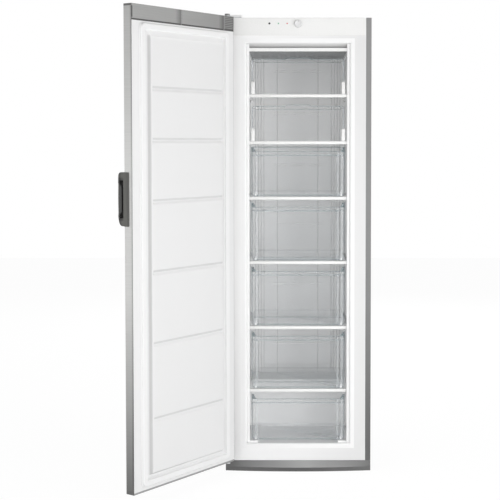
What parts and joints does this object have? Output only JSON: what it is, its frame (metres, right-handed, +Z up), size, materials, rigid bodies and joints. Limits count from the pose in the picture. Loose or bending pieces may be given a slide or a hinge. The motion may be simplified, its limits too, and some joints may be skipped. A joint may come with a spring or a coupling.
{
  "type": "upright freezer",
  "caption": "Tall single-door upright freezer standing open: white lined cavity, clear pull-out drawers, clear tip-down flaps, glass shelves, grey loop handle and a front control panel.",
  "frame": {"origin": "on the floor, midway across the cabinet, in the plane of the cabinet's front frame", "axes": "+X to the viewer's right, +Y from the front to the back, +Z up"},
  "size_m": [0.9633, 1.1355, 1.866],
  "materials": {
    "side_steel": "satin silver-grey paint",
    "white_steel": "gloss white paint",
    "bare_steel": "galvanised",
    "door_steel": "fine brushed, clear coated",
    "white_liner": "semi-gloss vacuum-formed",
    "white_trim": "gloss moulded",
    "foam": "closed-cell foam",
    "shelf_glass": "clear toughened glass",
    "clear_plastic": "clear moulded",
    "gasket": "soft matt",
    "cap_grey": "fine brushed look",
    "handle_grey": "satin dark grey",
    "plinth_grey": "satin grey",
    "dark_plastic": "matt black",
    "red_lens": "clear red",
    "green_lens": "clear green",
    "knob_white": "gloss",
    "circuit_board": "green solder mask",
    "fin_aluminium": "rolled",
    "black_metal": "black enamel",
    "black_rubber": "matt",
    "copper_line": "drawn copper",
    "screw_steel": "plated",
    "pan_grey": "matt"
  },
  "bodies": {
    "cabinet": {"alarm_light": "red_lens", "back_panel": "bare_steel", "base_frame": "bare_steel", "bottom_hinge": "bare_steel", "bottom_panel": "bare_steel", "cabinet_foam": "foam", "cabinet_liner": "white_liner", "cabinet_shell": "side_steel", "ceiling_guide": "white_trim", "compressor": "black_metal", "compressor_deck": "bare_steel", "compressor_grommets": "black_rubber", "condenser_clips": "dark_plastic", "condenser_tube": "black_metal", "condenser_wires": "black_metal", "control_board": "circuit_board", "control_panel": "white_trim", "cord_gland": "dark_plastic", "defrost_heater": "fin_aluminium", "drain_tube": "pan_grey", "duct_cover": "white_liner", "evaporation_pan": "pan_grey", "evaporator": "fin_aluminium", "fan_housing": "dark_plastic", "fan_motor": "bare_steel", "flap_brackets": "white_trim", "front_frame": "white_steel", "glass_shelves": "shelf_glass", "hinge_cover": "cap_grey", "hinge_screws": "screw_steel", "plinth": "plinth_grey", "power_light": "green_lens", "refrigerant_lines": "copper_line", "relay_cover": "dark_plastic", "shelf_trims": "white_trim", "top_hinge": "bare_steel", "wall_spacers": "dark_plastic"},
    "door": {"door_skin": "door_steel", "door_top_cap": "cap_grey", "door_bottom_cap": "cap_grey", "door_liner": "white_liner", "door_foam": "foam", "door_gasket": "gasket", "handle": "handle_grey", "handle_screws": "screw_steel", "hinge_bushes": "knob_white"},
    "upper_flap": {"upper_flap": "clear_plastic"},
    "lower_flap": {"lower_flap": "clear_plastic"},
    "control_knob": {"control_knob": "knob_white"},
    "alarm_button": {"alarm_button": "dark_plastic"},
    "fan_rotor": {"fan_rotor": "dark_plastic"},
    "left_roller": {"left_roller": "dark_plastic"},
    "right_roller": {"right_roller": "dark_plastic"},
    "left_foot": {"left_foot": "dark_plastic"},
    "right_foot": {"right_foot": "dark_plastic"},
    "drawer_1": {"drawer_1": "clear_plastic"},
    "drawer_2": {"drawer_2": "clear_plastic"},
    "drawer_3": {"drawer_3": "clear_plastic"},
    "drawer_4": {"drawer_4": "clear_plastic"},
    "drawer_5": {"drawer_5": "clear_plastic"}
  },
  "joints": [
    {"name": "door_hinge", "type": "hinge", "parent": "cabinet", "child": "door", "pos_m": [-0.2851, -0.034, 0.95], "axis": [0, 0, -1], "range_deg": [-125.6, 9]},
    {"name": "upper_flap_hinge", "type": "hinge", "parent": "cabinet", "child": "upper_flap", "pos_m": [0, 0.0205, 1.556], "axis": [1, 0, 0], "range_deg": [0, 90]},
    {"name": "lower_flap_hinge", "type": "hinge", "parent": "cabinet", "child": "lower_flap", "pos_m": [0, 0.0205, 1.365], "axis": [1, 0, 0], "range_deg": [0, 90]},
    {"name": "drawer_1_slide", "type": "slide", "parent": "cabinet", "child": "drawer_1", "axis": [0, -1, 0], "range_m": [0, 0.33]},
    {"name": "drawer_2_slide", "type": "slide", "parent": "cabinet", "child": "drawer_2", "axis": [0, -1, 0], "range_m": [0, 0.33]},
    {"name": "drawer_3_slide", "type": "slide", "parent": "cabinet", "child": "drawer_3", "axis": [0, -1, 0], "range_m": [0, 0.33]},
    {"name": "drawer_4_slide", "type": "slide", "parent": "cabinet", "child": "drawer_4", "axis": [0, -1, 0], "range_m": [0, 0.33]},
    {"name": "drawer_5_slide", "type": "slide", "parent": "cabinet", "child": "drawer_5", "axis": [0, -1, 0], "range_m": [0, 0.2]},
    {"name": "knob_turn", "type": "hinge", "parent": "cabinet", "child": "control_knob", "pos_m": [0, 0, 1.8295], "axis": [0, -1, 0], "range_deg": [0, 270]},
    {"name": "alarm_button_press", "type": "slide", "parent": "cabinet", "child": "alarm_button", "axis": [0, 1, 0], "range_m": [0, 0.002], "stiffness_N_per_m": 200, "springref_m": -0.002},
    {"name": "fan_spin", "type": "hinge", "parent": "cabinet", "child": "fan_rotor", "pos_m": [0, 0.48, 0.745], "axis": [0, 1, 0], "continuous": true},
    {"name": "left_roller_turn", "type": "hinge", "parent": "cabinet", "child": "left_roller", "pos_m": [-0.2807, 0.56, 0.018], "axis": [1, 0, 0], "continuous": true},
    {"name": "right_roller_turn", "type": "hinge", "parent": "cabinet", "child": "right_roller", "pos_m": [0.2807, 0.56, 0.018], "axis": [1, 0, 0], "continuous": true},
    {"name": "left_foot_height", "type": "slide", "parent": "cabinet", "child": "left_foot", "axis": [0, 0, -1], "range_m": [0, 0.01]},
    {"name": "right_foot_height", "type": "slide", "parent": "cabinet", "child": "right_foot", "axis": [0, 0, -1], "range_m": [0, 0.01]}
  ]
}
